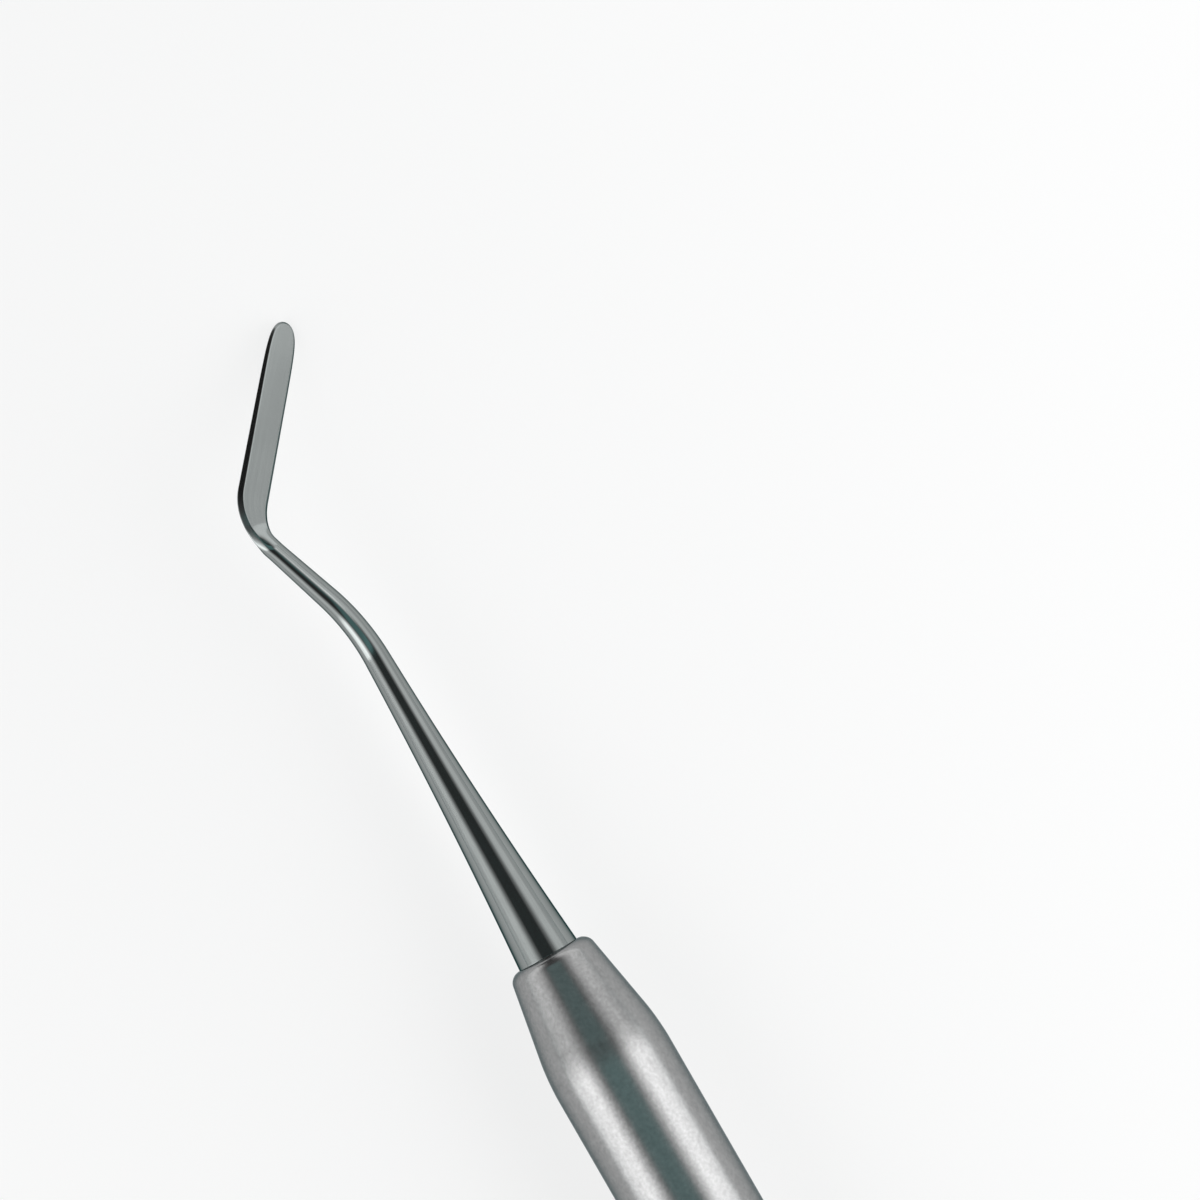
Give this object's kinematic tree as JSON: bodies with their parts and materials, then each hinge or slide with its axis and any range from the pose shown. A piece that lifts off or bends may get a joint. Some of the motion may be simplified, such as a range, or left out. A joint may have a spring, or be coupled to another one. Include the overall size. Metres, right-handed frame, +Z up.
{
  "type": "dental carver",
  "caption": "Dental carver with a hollow satin handle and, at both ends, a polished flared shank, a slim angled neck and a flat bevelled blade with a round tip.",
  "frame": {"origin": "the tool's balance point, on the handle's axis in the middle of the handle; the table that the tool lies on is at z = -0.004 m", "axes": "+X along the handle's axis towards the near working end, +Z up as the tool lies on a table, and both blades point to the -Y side and down"},
  "size_m": [0.1752, 0.0096, 0.008],
  "materials": {
    "satin_steel": "satin, bead-blasted",
    "polished_steel": "polished stainless steel"
  },
  "bodies": {
    "root": {"handle": "satin_steel", "near_working_end": "polished_steel", "far_working_end": "polished_steel"}
  },
  "joints": []
}
